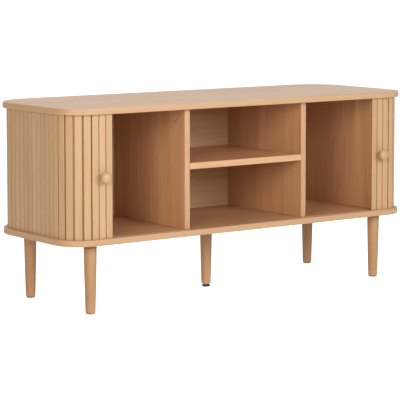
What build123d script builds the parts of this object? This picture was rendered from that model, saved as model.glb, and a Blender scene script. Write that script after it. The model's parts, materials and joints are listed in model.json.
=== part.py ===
from build123d import *
import math
import os

# Media cabinet on round legs: three open bays, two tambour doors that slide in grooves
# round the rounded corners and park along the sides and behind the back panel.
# Millimetres. X is the width, the front faces -Y, Z is up, the floor is Z = 0.

# ---- driving dimensions --------------------------------------------------------------
WIDTH = 1100.0            # panels, left to right
DEPTH = 390.0             # panels, front to back
BOARD = 16.0              # board thickness
CLEAR = 304.0             # clear height between the two panels
LEG_LENGTH = 174.0        # floor to the underside of the bottom panel, pad included
FRONT_RADIUS = 77.0       # plan radius of the panels' front corners
BACK_RADIUS = 103.0       # plan radius of the panels' back corners
ARRIS = 2.0               # rounding of the panels' outer edges

DOOR_INSET = 10.0         # panel edge to the doors' outer face
SLAT_THICK = 8.0
SLAT_FACE = 18.8          # slat width at the outer face
SLAT_BACK = 14.0          # slat width at the backing cloth
SLAT_EDGE = 1.2           # rounding of the slat's outer long edges
SLAT_PITCH = 20.0         # slat to slat along the backing cloth
SLAT_COUNT = 29           # slats in one door
SLAT_GAP = 1.0            # play between a slat's end and a panel
TONGUE = 5.0              # how far the leading slats reach into the grooves
GROOVE_DEPTH = 6.0
GROOVE_PLAY = 0.3         # groove wall to slat face, each side
PARKED_EDGE = 420.0       # distance of a parked door's leading edge from the centre
TRAVEL = 230.0            # how far a door slides to meet its divider

DIVIDER_X = 189.0         # centre plane of each divider
SIDE_X = 448.0            # centre plane of each inner side
DIVIDER_FRONT = 19.0      # panel front edge to the dividers' front edges
SIDE_FRONT = 32.0         # panel front edge to the inner sides' front edges
BACK_FACE = 337.0         # panel front edge to the back panel's front face
BACK_THICK = 8.0
SHELF_RISE = 151.0        # bottom panel to the underside of the shelf

LEG_X = 462.0             # corner leg centres, left and right
LEG_FRONT = 49.0          # corner leg centre to the panel's front edge
LEG_BACK = 59.0           # corner leg centre to the panel's back edge
LEG_TOP_R = 16.5
LEG_FOOT_R = 12.5
PAD_THICK = 4.0
PAD_R = 11.0
LEG_CHAMFER = 1.2
PAD_CHAMFER = 1.0
GLIDE_REACH = 8.0         # visible height of the centre leg's screw glide
GLIDE_R = 10.5
GLIDE_FOOT = 5.0          # height of the glide's foot
GLIDE_COLLAR = 2.5        # foot's rim to the collar above it
GLIDE_STEM_R = 4.0
GLIDE_STEM = 30.0
GLIDE_TRAVEL = 6.0        # how far the glide screws in
GLIDE_PLAY = 0.5          # room round the glide inside the leg

KNOB_R = 14.5
KNOB_STAND = 26.0         # knob front to the slat face
KNOB_NECK_R = 7.0
KNOB_HEAD = 16.0          # thickness of the knob's head
KNOB_SLAT = 1             # the second slat carries the knob
KNOB_DROP = 2.0           # knob centre below mid height
KNOB_FLARE = 1.0          # the neck widens by this at the slat
KNOB_WAIST = 4.5          # height of the narrowest place
KNOB_SHOULDER = 3.0       # head's full radius to its edge at the neck
KNOB_CROWN = 4.0          # head's full radius to its edge at the front
KNOB_FULL = 5.0           # start of the head to its full radius
KNOB_FRONT = 2.0          # height of the domed front

CAM_R = 7.5
CAM_DEPTH = 12.5
CAM_DROP = 27.0           # cam centre below the top panel
CAM_SETBACK = 39.0        # fittings' centre behind a board's front edge, or off its back
SIDE_CAM_SETBACK = 17.0   # the inner sides' front cams stand nearer to the edge
CAM_SLOT = 1.6            # width of the driver slot in the cam's face
CAM_SLOT_LONG = 8.0
CAM_SLOT_DEEP = 1.5
CAM_BOLT_R = 3.5
CAM_BOLT_TOP = 11.0       # cam bolt's thread in the top panel
DOWEL_R = 4.0
DOWEL_OFFSET = 32.0       # dowel to the screw below it
DOWEL_LONG = 30.0
DOWEL_SHALLOW = 10.0      # end of a dowel that sits in the thinner hole
SCREW_R = 3.5
SCREW_HEAD_R = 5.0
SCREW_HEAD = 4.0
SCREW_LONG = 50.0
HEX_R = 2.3               # hexagon socket in the screw's head
HEX_DEEP = 3.0
BACK_SCREW_R = 1.75
BACK_SCREW_HEAD_R = 3.5
BACK_SCREW_HEAD = 2.5
BACK_SCREW_LONG = 30.0
BACK_SCREW_INSET = 60.0   # back screw to the nearer panel
INSERT_R = 6.0
INSERT_DEEP = 13.0
BOLT_R = 4.0
BOLT_IN_LEG = 30.0
BOLT_IN_INSERT = 12.0
KNOB_SCREW_R = 2.0
KNOB_SCREW_HEAD_R = 4.0
KNOB_SCREW_HEAD = 2.2
KNOB_SCREW_IN_KNOB = 14.0

# ---- places worked out from them -------------------------------------------------------
KNOB_PROUD = KNOB_STAND - DOOR_INSET        # knobs in front of the panels' front edge
CENTRE_Y = KNOB_PROUD / 2                   # panels sit back so the whole object is centred
FRONT_Y = CENTRE_Y - DEPTH / 2
BACK_Y = CENTRE_Y + DEPTH / 2
FLOOR_Z = LEG_LENGTH + BOARD                # top of the bottom panel
CEILING_Z = FLOOR_Z + CLEAR                 # underside of the top panel
MID_Z = (FLOOR_Z + CEILING_Z) / 2
REAR_FACE_Y = FRONT_Y + BACK_FACE           # front face of the back panel
CLOTH = DOOR_INSET + SLAT_THICK             # panel edge to the doors' backing cloth


def save(part, node):
    part.label = node
    export_step(part, f"parts/{node}.step")


def cylinder(radius, height, x, y, z, direction=(0, 0, 1)):
    """A cylinder that starts at (x, y, z) and runs along direction."""
    place = Plane(origin=(x, y, z), z_dir=direction)
    return place * Cylinder(radius, height, align=(Align.CENTER, Align.CENTER, Align.MIN))


def block(x0, x1, y0, y1, z0, z1):
    size = Box(x1 - x0, y1 - y0, z1 - z0, align=(Align.MIN, Align.MIN, Align.MIN))
    return Pos(x0, y0, z0) * size


def outline(inset):
    """The panels' plan shape, shrunk by inset all round."""
    plan = Rectangle(WIDTH - 2 * inset, DEPTH - 2 * inset)
    corners = plan.vertices().sort_by(Axis.Y)
    plan = fillet(corners[:2], FRONT_RADIUS - inset)
    corners = plan.vertices().sort_by(Axis.Y)[-2:]
    plan = fillet(corners, BACK_RADIUS - inset)
    return Pos(0, CENTRE_Y, 0) * plan


def both_sides(part):
    """A part and its mirror image across the centre plane."""
    return part, mirror(part, about=Plane.YZ)


def group(solids):
    return Compound(children=list(solids))


# ---- door path, written for the left door -----------------------------------------------
FRONT_BEND = FRONT_RADIUS - CLOTH
BACK_BEND = BACK_RADIUS - CLOTH
FRONT_RUN = WIDTH / 2 - FRONT_RADIUS - PARKED_EDGE
FRONT_ARC = FRONT_BEND * math.pi / 2
SIDE_RUN = DEPTH - FRONT_RADIUS - BACK_RADIUS
BACK_ARC = BACK_BEND * math.pi / 2


def on_path(s):
    """Point on the cloth line and outward direction, s along the door from its parked edge."""
    if s < FRONT_RUN:
        return Vector(-(PARKED_EDGE + s), FRONT_Y + CLOTH), 270.0
    s -= FRONT_RUN
    if s < FRONT_ARC:
        turn = s / FRONT_BEND
        x = -(WIDTH / 2 - FRONT_RADIUS) - FRONT_BEND * math.sin(turn)
        y = FRONT_Y + FRONT_RADIUS - FRONT_BEND * math.cos(turn)
        return Vector(x, y), 270.0 - math.degrees(turn)
    s -= FRONT_ARC
    if s < SIDE_RUN:
        return Vector(-(WIDTH / 2 - CLOTH), FRONT_Y + FRONT_RADIUS + s), 180.0
    s -= SIDE_RUN
    if s < BACK_ARC:
        turn = s / BACK_BEND
        x = -(WIDTH / 2 - BACK_RADIUS) - BACK_BEND * math.cos(turn)
        y = BACK_Y - BACK_RADIUS + BACK_BEND * math.sin(turn)
        return Vector(x, y), 180.0 - math.degrees(turn)
    s -= BACK_ARC
    return Vector(-(WIDTH / 2 - BACK_RADIUS) + s, BACK_Y - CLOTH), 90.0


def slat(index, tongues):
    """One slat of the left door, parked. Its outer face is wider than its back."""
    point, outward = on_path(SLAT_PITCH * (index + 0.5))
    section = Polyline(
        (0, -SLAT_BACK / 2), (SLAT_THICK, -SLAT_FACE / 2),
        (SLAT_THICK, SLAT_FACE / 2), (0, SLAT_BACK / 2), close=True)
    face = make_face(section)
    face = fillet(face.vertices().sort_by(Axis.X)[-2:], SLAT_EDGE)
    reach = TONGUE if tongues else -SLAT_GAP
    low = FLOOR_Z - reach
    high = CEILING_Z + reach
    place = Pos(point.X, point.Y, low) * Rot(0, 0, outward)
    return place * extrude(face, high - low)


# Slats that keep one rigid motion share a node: the leading ones, the ones that go from a
# side to the front, and the ones that go from the back to a side. Each other slat is alone.
def door_groups():
    lead = range(0, 3)
    middle = range(7, 14)
    tail = range(24, SLAT_COUNT)
    singles = [range(i, i + 1) for i in range(SLAT_COUNT)
               if i not in lead and i not in middle and i not in tail]
    return sorted([lead, middle, tail] + singles, key=lambda r: r[0])


def group_name(members):
    if members[0] == 0:
        return "lead_slats"
    if len(members) == 1:
        return f"slat_{members[0] + 1:02d}"
    return f"slats_{members[0] + 1:02d}_to_{members[-1] + 1:02d}"


# ---- boards -----------------------------------------------------------------------------
def panel(z0):
    """A full-width board with rounded corners and eased outer edges."""
    board = Pos(0, 0, z0) * extrude(outline(0), BOARD)
    rims = board.edges().filter_by(lambda e: abs(e.center().Z - z0 - BOARD / 2) > BOARD / 2 - 0.01)
    return fillet(rims, ARRIS)


def groove(z0):
    """Both door grooves, from each divider round to the end of the parked tail."""
    ring = outline(DOOR_INSET - GROOVE_PLAY) - outline(CLOTH + GROOVE_PLAY)
    band = Pos(0, 0, z0) * extrude(ring, GROOVE_DEPTH)
    last = on_path(SLAT_PITCH * SLAT_COUNT)[0].X
    end_front = PARKED_EDGE - TRAVEL - GROOVE_PLAY
    end_back = -last - 2 * GROOVE_PLAY
    keep_front = block(-end_front, end_front, FRONT_Y - 1, CENTRE_Y, z0 - 1, z0 + BOARD)
    keep_back = block(-end_back, end_back, CENTRE_Y, BACK_Y + 1, z0 - 1, z0 + BOARD)
    return band - keep_front - keep_back


# centre plane, front edge, the side its cams face, and its front cam's setback
UPRIGHTS = {
    "left_divider": (-DIVIDER_X, DIVIDER_FRONT, -1, CAM_SETBACK),
    "right_divider": (DIVIDER_X, DIVIDER_FRONT, 1, CAM_SETBACK),
    "left_inner_side": (-SIDE_X, SIDE_FRONT, 1, SIDE_CAM_SETBACK),
    "right_inner_side": (SIDE_X, SIDE_FRONT, -1, SIDE_CAM_SETBACK),
}


def fitting_rows(front, setback=CAM_SETBACK):
    """Y of the front and rear fittings of an upright."""
    return FRONT_Y + front + setback, REAR_FACE_Y - CAM_SETBACK


cams, cam_bolts, dowels, screws, back_screws = [], [], [], [], []
top_holes, bottom_holes, back_holes = [], [], []
uprights = {}

for name, (x, front, cam_side, cam_setback) in UPRIGHTS.items():
    board = block(x - BOARD / 2, x + BOARD / 2, FRONT_Y + front, REAR_FACE_Y, FLOOR_Z, CEILING_Z)
    face_x = x + cam_side * BOARD / 2
    for y in fitting_rows(front, cam_setback):
        cam = cylinder(CAM_R, CAM_DEPTH, face_x, y, CEILING_Z - CAM_DROP, (-cam_side, 0, 0))
        bolt_low = CEILING_Z - CAM_DROP + CAM_R / 2
        bolt = cylinder(CAM_BOLT_R, CEILING_Z + CAM_BOLT_TOP - bolt_low, x, y, bolt_low)
        slot = Pos(face_x, y, CEILING_Z - CAM_DROP) * Box(2 * CAM_SLOT_DEEP, CAM_SLOT_LONG, CAM_SLOT)
        bolt = bolt - cam
        board = board - cam - bolt
        cams.append(cam - slot)
        cam_bolts.append(bolt)
        top_holes.append(bolt)
    for y in fitting_rows(front):
        screw = cylinder(SCREW_R, SCREW_LONG, x, y, LEG_LENGTH)
        screw += cylinder(SCREW_HEAD_R, SCREW_HEAD, x, y, LEG_LENGTH)
        board = board - screw
        bottom_holes.append(screw)
        hex_socket = Pos(x, y, LEG_LENGTH) * extrude(RegularPolygon(HEX_R, 6), HEX_DEEP)
        screws.append(screw - hex_socket)

        dowel_y = y + (DOWEL_OFFSET if y < CENTRE_Y else -DOWEL_OFFSET)
        dowel = cylinder(DOWEL_R, DOWEL_LONG, x, dowel_y, CEILING_Z + DOWEL_SHALLOW, (0, 0, -1))
        board = board - dowel
        dowels.append(dowel)
        top_holes.append(dowel)
    for z in (FLOOR_Z + BACK_SCREW_INSET, CEILING_Z - BACK_SCREW_INSET):
        y1 = REAR_FACE_Y + BACK_THICK
        pin = cylinder(BACK_SCREW_R, BACK_SCREW_LONG, x, y1, z, (0, -1, 0))
        pin += cylinder(BACK_SCREW_HEAD_R, BACK_SCREW_HEAD, x, y1, z, (0, -1, 0))
        board = board - pin
        back_screws.append(pin)
        back_holes.append(pin)
    uprights[name] = board

# ---- shelf between the dividers -----------------------------------------------------------
shelf_x = DIVIDER_X - BOARD / 2
shelf_z = FLOOR_Z + SHELF_RISE
shelf = block(-shelf_x, shelf_x, FRONT_Y + DIVIDER_FRONT, REAR_FACE_Y, shelf_z, shelf_z + BOARD)
for side, name in ((-1, "left_divider"), (1, "right_divider")):
    for y in fitting_rows(DIVIDER_FRONT):
        start = side * (shelf_x + DOWEL_SHALLOW)
        dowel = cylinder(DOWEL_R, DOWEL_LONG, start, y, shelf_z + BOARD / 2, (-side, 0, 0))
        shelf = shelf - dowel
        uprights[name] = uprights[name] - dowel
        dowels.append(dowel)

# ---- legs, their fittings and feet ---------------------------------------------------------
corner_places = {
    "front_left_leg": (-LEG_X, FRONT_Y + LEG_FRONT),
    "front_right_leg": (LEG_X, FRONT_Y + LEG_FRONT),
    "back_left_leg": (-LEG_X, BACK_Y - LEG_BACK),
    "back_right_leg": (LEG_X, BACK_Y - LEG_BACK),
}
leg_places = dict(corner_places, centre_leg=(0.0, CENTRE_Y))
legs, inserts, leg_bolts, pads = {}, [], [], []

for name, (x, y) in leg_places.items():
    foot_z = PAD_THICK if name in corner_places else GLIDE_REACH
    leg_high = LEG_LENGTH - foot_z
    leg = Cone(LEG_FOOT_R, LEG_TOP_R, leg_high, align=(Align.CENTER, Align.CENTER, Align.MIN))
    leg = chamfer(leg.edges().sort_by(Axis.Z)[0], LEG_CHAMFER)
    leg = Pos(x, y, foot_z) * leg
    bolt = cylinder(BOLT_R, BOLT_IN_LEG + BOLT_IN_INSERT, x, y, LEG_LENGTH - BOLT_IN_LEG)
    insert = cylinder(INSERT_R, INSERT_DEEP, x, y, LEG_LENGTH)
    leg = leg - bolt
    bottom_holes.append(insert)
    leg_bolts.append(bolt)
    inserts.append(insert - bolt)
    if name in corner_places:
        pad = cylinder(PAD_R, PAD_THICK, x, y, 0)
        pads.append(chamfer(pad.edges().sort_by(Axis.Z)[0], PAD_CHAMFER))
    legs[name] = leg

# the centre leg's levelling glide: a black foot on a threaded stem
gx, gy = leg_places["centre_leg"]
glide = cylinder(GLIDE_R, GLIDE_FOOT, gx, gy, 0)
glide = chamfer(glide.edges().sort_by(Axis.Z)[0], LEG_CHAMFER)
collar_high = GLIDE_REACH - GLIDE_FOOT - GLIDE_PLAY
glide += cylinder(GLIDE_R - GLIDE_COLLAR, collar_high, gx, gy, GLIDE_FOOT)
glide += cylinder(GLIDE_STEM_R, GLIDE_STEM, gx, gy, GLIDE_FOOT)
pocket_low = GLIDE_REACH - 1
bore_high = GLIDE_FOOT + GLIDE_STEM + GLIDE_TRAVEL + GLIDE_PLAY - pocket_low
glide_bore = cylinder(GLIDE_STEM_R + GLIDE_PLAY, bore_high, gx, gy, pocket_low)
glide_pocket = cylinder(GLIDE_R + GLIDE_PLAY, GLIDE_TRAVEL + GLIDE_PLAY, gx, gy, pocket_low)
legs["centre_leg"] = legs["centre_leg"] - glide_bore - glide_pocket

# ---- top, bottom and back ------------------------------------------------------------------
top = panel(CEILING_Z) - groove(CEILING_Z)
for hole in top_holes:
    top = top - hole
bottom = panel(LEG_LENGTH) - groove(FLOOR_Z - GROOVE_DEPTH)
for hole in bottom_holes:
    bottom = bottom - hole
back_half = SIDE_X + BOARD / 2
back = block(-back_half, back_half, REAR_FACE_Y, REAR_FACE_Y + BACK_THICK, FLOOR_Z, CEILING_Z)
for hole in back_holes:
    back = back - hole

# ---- knobs -----------------------------------------------------------------------------------
knob_x = on_path(SLAT_PITCH * (KNOB_SLAT + 0.5))[0].X
knob_z = MID_Z - KNOB_DROP
face_y = FRONT_Y + DOOR_INSET
head_low = KNOB_STAND - KNOB_HEAD
neck_edge = (KNOB_NECK_R + KNOB_FLARE, 0)
shoulder = (KNOB_R - KNOB_SHOULDER, head_low)
crown = (KNOB_R - KNOB_CROWN, KNOB_STAND - KNOB_FRONT)
profile = [
    Line((0, 0), neck_edge),
    Spline(neck_edge, (KNOB_NECK_R, KNOB_WAIST), shoulder, tangents=[(-0.3, 1), (1, 0.35)]),
    Spline(shoulder, (KNOB_R, head_low + KNOB_FULL), crown, tangents=[(1, 0.35), (-1, 0.55)]),
    Spline(crown, (0, KNOB_STAND), tangents=[(-1, 0.3), (-1, 0)]),
    Line((0, KNOB_STAND), (0, 0)),
]
knob_shape = revolve(make_face(profile), axis=Axis.Y)
knob = Pos(knob_x, face_y, knob_z) * Rot(0, 0, 180) * knob_shape
knob_screw = cylinder(KNOB_SCREW_R, SLAT_THICK + KNOB_SCREW_IN_KNOB, knob_x,
                      face_y + SLAT_THICK, knob_z, (0, -1, 0))
sink = Cone(KNOB_SCREW_HEAD_R, KNOB_SCREW_R, KNOB_SCREW_HEAD,
            align=(Align.CENTER, Align.CENTER, Align.MIN))
knob_screw += Plane(origin=(knob_x, face_y + SLAT_THICK, knob_z), z_dir=(0, -1, 0)) * sink
knob = knob - knob_screw

# ---- write the pieces ------------------------------------------------------------------------
os.makedirs("parts", exist_ok=True)
save(top, "top_panel")
save(bottom, "bottom_panel")
save(back, "back_panel")
save(shelf, "centre_shelf")
for name, board in uprights.items():
    save(board, name)
for name, leg in legs.items():
    save(leg, name)
save(glide, "centre_leg_glide")
save(group(pads), "leg_pads")
save(group(inserts), "leg_inserts")
save(group(leg_bolts), "leg_bolts")
save(group(cams), "cam_locks")
save(group(cam_bolts), "cam_bolts")
save(group(dowels), "dowels")
save(group(screws), "bottom_screws")
save(group(back_screws), "back_screws")

for side, piece in zip(("left", "right"), both_sides(knob)):
    save(piece, f"{side}_knob")
for side, piece in zip(("left", "right"), both_sides(knob_screw)):
    save(piece, f"{side}_knob_screw")

for members in door_groups():
    solids = []
    for index in members:
        piece = slat(index, tongues=members[0] == 0)
        if index == KNOB_SLAT:
            piece = piece - knob_screw
        solids.append(piece)
    shape = solids[0] if len(solids) == 1 else group(solids)
    for side, piece in zip(("left", "right"), both_sides(shape)):
        save(piece, f"{side}_{group_name(members)}")
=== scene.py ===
import json
import math
import re

import bmesh
import bpy
from mathutils import Matrix, Vector


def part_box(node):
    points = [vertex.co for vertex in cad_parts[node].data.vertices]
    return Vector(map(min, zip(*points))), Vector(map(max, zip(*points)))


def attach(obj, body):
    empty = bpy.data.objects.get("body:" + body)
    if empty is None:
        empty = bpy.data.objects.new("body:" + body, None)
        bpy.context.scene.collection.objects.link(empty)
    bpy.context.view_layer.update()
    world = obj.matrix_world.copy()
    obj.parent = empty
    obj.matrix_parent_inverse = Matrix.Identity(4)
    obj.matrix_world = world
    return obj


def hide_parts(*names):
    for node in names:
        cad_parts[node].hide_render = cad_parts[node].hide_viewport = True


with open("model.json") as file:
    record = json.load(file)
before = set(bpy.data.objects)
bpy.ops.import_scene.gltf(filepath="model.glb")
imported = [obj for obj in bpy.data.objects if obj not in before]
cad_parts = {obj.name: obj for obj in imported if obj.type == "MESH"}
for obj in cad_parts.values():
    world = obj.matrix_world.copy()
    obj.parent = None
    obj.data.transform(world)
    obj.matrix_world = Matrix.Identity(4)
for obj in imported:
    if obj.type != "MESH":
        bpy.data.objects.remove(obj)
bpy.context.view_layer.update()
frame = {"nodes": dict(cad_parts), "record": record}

# ======================================================================================
# Top and bottom panels
# Two full-width boards of chipboard with a light oak face, cut to one plan with large
# rounded corners. Their rims carry a glued edge band with the grain running round it, and
# each has a groove, one above the other, in which the doors' slats run.
# ======================================================================================

MM = 0.001
FRONT_RADIUS = 77 * MM        # plan radius of the front corners
BACK_RADIUS = 103 * MM        # plan radius of the back corners
RIM_EASE = 2.6 * MM           # rounding of the panels' rims
DOOR_INSET = 10 * MM          # panel rim to the doors' outer face
SLAT_THICK = 8 * MM
GROOVE_PLAY = 0.8 * MM        # room beside the slats, for their corners in the bends
GROOVE_DEPTH = 6 * MM
ARC_STEPS = 32                # straight pieces in a quarter turn of a panel's rim
DIVIDER_STOP = 0.7 * MM       # from the grooves' front ends to the dividers' middles
TAIL_ROOM = 1.2 * MM          # groove left behind the parked tail
CUT_MARGIN = 1 * MM           # how far a cutter stands out of what it cuts

top_low, top_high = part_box("top_panel")
bottom_low, bottom_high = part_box("bottom_panel")
LEFT, RIGHT = top_low[0], top_high[0]
FRONT, BACK = top_low[1], top_high[1]
MIDDLE_Y = (FRONT + BACK) / 2
FLOOR_Z = bottom_high[2]      # upper face of the bottom panel
CEILING_Z = top_low[2]        # lower face of the top panel


def linear(red, green, blue):
    """A screen colour, 0 to 255, as the linear colour that a shader takes."""
    def one(value):
        value /= 255
        return value / 12.92 if value <= 0.04045 else ((value + 0.055) / 1.055) ** 2.4
    return one(red), one(green), one(blue), 1.0


class Value:
    """An output socket that takes part in sums: each operator adds its Math node."""

    def __init__(self, finish, socket):
        self.finish = finish
        self.socket = socket

    def math(self, operation, first, second=0.0):
        return self.finish.node("ShaderNodeMath", {"operation": operation}, {0: first, 1: second})

    def __add__(self, other):
        return self.math("ADD", self, other)

    def __sub__(self, other):
        return self.math("SUBTRACT", self, other)

    def __mul__(self, other):
        return self.math("MULTIPLY", self, other)

    def __pow__(self, other):
        return self.math("POWER", self, other)

    __radd__ = __add__
    __rmul__ = __mul__

    def sine(self):
        return self.math("SINE", self)

    def clamped(self):
        return self.math("MINIMUM", self.math("MAXIMUM", self, 0.0), 1.0)

    def above(self, low, high):
        """0 below low, 1 above high, smooth between them."""
        settings = {"interpolation_type": "SMOOTHSTEP"}
        values = {"Value": self, "From Min": low, "From Max": high}
        return self.finish.node("ShaderNodeMapRange", settings, values)


class Nodes:
    """A node tree while it is being made."""

    def __init__(self, tree):
        self.tree = tree

    def give(self, socket, value):
        if isinstance(value, Value):
            self.tree.links.new(value.socket, socket)
        else:
            socket.default_value = value

    def node(self, kind, settings=None, values=None, output=0):
        """Adds a node, sets it, then gives its sockets their values or links."""
        made = self.tree.nodes.new(kind)
        for key, value in (settings or {}).items():
            setattr(made, key, value)
        for key, value in (values or {}).items():
            self.give(made.inputs[key], value)
        return Value(self, made.outputs[output])


class Finish(Nodes):
    """A material while it is being made."""

    def __init__(self, name, roughness=0.5, metallic=0.0, specular=0.5):
        self.material = bpy.data.materials.new(name)
        self.material.use_nodes = True
        super().__init__(self.material.node_tree)
        self.shader = self.tree.nodes["Principled BSDF"]
        self.set("Roughness", roughness)
        self.set("Metallic", metallic)
        self.set("Specular IOR Level", specular)

    def set(self, socket, value):
        self.give(self.shader.inputs[socket], value)

    def noise(self, place, scale, detail=2.0, roughness=0.5, distortion=0.0):
        values = {"Vector": place, "Scale": scale, "Detail": detail,
                  "Roughness": roughness, "Distortion": distortion}
        return self.node("ShaderNodeTexNoise", None, values)

    def mix(self, share, first, second):
        settings = {"data_type": "RGBA"}
        values = {0: share, 6: first, 7: second}
        return self.node("ShaderNodeMix", settings, values, output=2)

    def bump(self, height, strength, distance):
        values = {"Height": height, "Strength": strength, "Distance": distance}
        self.set("Normal", self.node("ShaderNodeBump", None, values))

    def attribute(self, name):
        return self.node("ShaderNodeAttribute", {"attribute_name": name}, None, "Fac")


SATIN = 0.42                  # roughness of the lacquer
STRETCH = 20.0                # how much longer than wide the figure of the wood is
GRAIN_SCALE = {
    "X": (1.0, STRETCH, STRETCH),
    "Y": (STRETCH, 1.0, STRETCH),
    "Z": (STRETCH, STRETCH, 1.0),
}


def oak(name, grain, pale, deep, shift=0.0, figure=1.0, banded=False, per_slat=False):
    """Satin lacquered oak: slow bands, ring lines, fibres, pores and rubbed edges.

    grain is the axis the grain runs along, and shift sets which part of the figure shows.
    banded wood follows a panel's rim; per_slat wood differs by slat and has painted shade
    where two slats meet.
    """
    wood = Finish(name)
    if banded:
        place = wood.node("ShaderNodeUVMap", {"uv_map": "band"}, None, "UV")
    else:
        place = wood.node("ShaderNodeTexCoord", None, None, "Object")
    if per_slat:
        tone = wood.attribute("tone")
        values = {0: tone * 3.0, 1: tone * 5.0, 2: tone * 9.0}
        jump = wood.node("ShaderNodeCombineXYZ", None, values)
        place = wood.node("ShaderNodeVectorMath", {"operation": "ADD"}, {0: place, 1: jump})
    values = {"Vector": place, "Location": (shift, shift * 1.7, shift * 0.6),
              "Scale": GRAIN_SCALE[grain]}
    long_way = wood.node("ShaderNodeMapping", None, values)

    bands = wood.noise(long_way, 0.9, 2.0, 0.5, 0.4)
    rings = ((wood.noise(long_way, 0.55, 1.0, 0.4, 0.3) * 95.0).sine() + 1.0) * 0.5
    flow = wood.noise(long_way, 5.0, 3.0, 0.6, 0.2)
    fibres = wood.noise(long_way, 26.0, 4.0, 0.7)
    pores = wood.noise(long_way, 48.0, 2.0, 0.6).above(0.60, 0.74)
    blotch = wood.noise(place, 3.2, 2.0, 0.5)

    share = (bands - 0.5) * (0.9 * figure) + (rings ** 2.0) * (0.16 * figure)
    share = share + (flow - 0.5) * (0.9 * figure) + (fibres - 0.5) * 0.55
    share = (share + (blotch - 0.5) * 0.25 + 0.36).clamped()
    colour = wood.mix(share, pale, deep)
    dark = tuple(channel * 0.52 for channel in deep[:3]) + (1.0,)
    colour = wood.mix(pores * 0.38, colour, dark)
    if per_slat:
        colour = wood.mix((tone - 0.5) * 0.16 + 0.08, colour, dark)
    # the mark is rubbed wear, lighter, on most wood; on slats it is painted shade instead
    wear_and_shade = wood.attribute("wear_and_shade") * (fibres * 0.8 + 0.35).clamped()
    rubbed = tuple(min(1.0, channel * 1.12 + 0.02) for channel in pale[:3]) + (1.0,)
    # painted shade: a slat's eased edges and sides are darkened where it meets the next slat
    if per_slat:
        painted_groove_shade = tuple(channel * part for channel, part in zip(deep, (0.66, 0.50, 0.34, 1.0)))
        colour = wood.mix(wear_and_shade * 0.62, colour, painted_groove_shade)
    else:
        colour = wood.mix(wear_and_shade * 0.55, colour, rubbed)
    wood.set("Base Color", colour)
    gloss = SATIN + (fibres - 0.5) * 0.16 + (blotch - 0.5) * 0.12 - wear_and_shade * 0.10
    wood.set("Roughness", gloss.clamped())
    wood.bump(fibres * 0.5 + flow * 0.25 - pores * 0.6, 0.22, 0.15 * MM)
    return wood.material


PALE_OAK = linear(195, 160, 123)
DEEP_OAK = linear(171, 126, 86)
board_oak = oak("oak_face_along", "X", PALE_OAK, DEEP_OAK, shift=0.0)
floor_oak = oak("oak_face_floor", "X", linear(192, 149, 109), linear(167, 115, 75), shift=33.0)
band_oak = oak("oak_edge_band", "X", linear(188, 152, 114), linear(166, 124, 86),
               shift=4.0, figure=0.5, banded=True)


def rim_points(inset):
    """The panels' plan outline shrunk by inset, anticlockwise from the front left."""
    corners = (
        (RIGHT - FRONT_RADIUS, FRONT + FRONT_RADIUS, FRONT_RADIUS, -90),
        (RIGHT - BACK_RADIUS, BACK - BACK_RADIUS, BACK_RADIUS, 0),
        (LEFT + BACK_RADIUS, BACK - BACK_RADIUS, BACK_RADIUS, 90),
        (LEFT + FRONT_RADIUS, FRONT + FRONT_RADIUS, FRONT_RADIUS, 180),
    )
    points = []
    for x, y, radius, start in corners:
        for step in range(ARC_STEPS + 1):
            turn = math.radians(start + 90 * step / ARC_STEPS)
            reach = radius - inset
            points.append((x + reach * math.cos(turn), y + reach * math.sin(turn)))
    return points


def along_rim(x, y):
    """Distance round a panel's rim from the middle of its front, the same left and right."""
    x = abs(x - (LEFT + RIGHT) / 2)
    half = (RIGHT - LEFT) / 2
    front_run = half - FRONT_RADIUS
    front_arc = FRONT_RADIUS * math.pi / 2
    side_run = BACK - FRONT - FRONT_RADIUS - BACK_RADIUS
    back_arc = BACK_RADIUS * math.pi / 2
    if y < FRONT + FRONT_RADIUS:
        if x <= front_run:
            return x
        turn = math.atan2(x - front_run, FRONT + FRONT_RADIUS - y)
        return front_run + FRONT_RADIUS * turn
    if y <= BACK - BACK_RADIUS:
        return front_run + front_arc + y - FRONT - FRONT_RADIUS
    start = front_run + front_arc + side_run
    if x > half - BACK_RADIUS:
        return start + BACK_RADIUS * math.atan2(y - BACK + BACK_RADIUS, x - half + BACK_RADIUS)
    return start + back_arc + half - BACK_RADIUS - x


def prism(points, low, high):
    """A closed upright solid over a plan outline given anticlockwise."""
    shape = bmesh.new()
    lower = [shape.verts.new((x, y, low)) for x, y in points]
    upper = [shape.verts.new((x, y, high)) for x, y in points]
    shape.faces.new(lower[::-1])
    shape.faces.new(upper)
    for i in range(len(points)):
        j = (i + 1) % len(points)
        shape.faces.new((lower[i], lower[j], upper[j], upper[i]))
    return shape


def to_object(shape, name, materials):
    """An object in the scene from a shape, which is used up."""
    mesh = bpy.data.meshes.new(name)
    shape.to_mesh(mesh)
    shape.free()
    made = bpy.data.objects.new(name, mesh)
    bpy.context.scene.collection.objects.link(made)
    for material in materials:
        mesh.materials.append(material)
    return made


def ease(shape, edges, radius, steps=3):
    """Rounds edges, shades the rounding smooth and marks its middle as rubbed by use."""
    done = bmesh.ops.bevel(shape, geom=list(edges), offset=radius, segments=steps,
                           profile=0.5, affect="EDGES", clamp_overlap=True)
    round_faces = set(done["faces"])
    wear_and_shade = shape.verts.layers.float.get("wear_and_shade") or shape.verts.layers.float.new("wear_and_shade")
    for face in round_faces:
        face.smooth = True
    for vert in done["verts"]:
        if vert.is_valid and all(face in round_faces for face in vert.link_faces):
            vert[wear_and_shade] = 1.0
    for edge in shape.edges:
        inside = [face in round_faces for face in edge.link_faces]
        if any(inside) and not all(inside):
            edge.smooth = False


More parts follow.
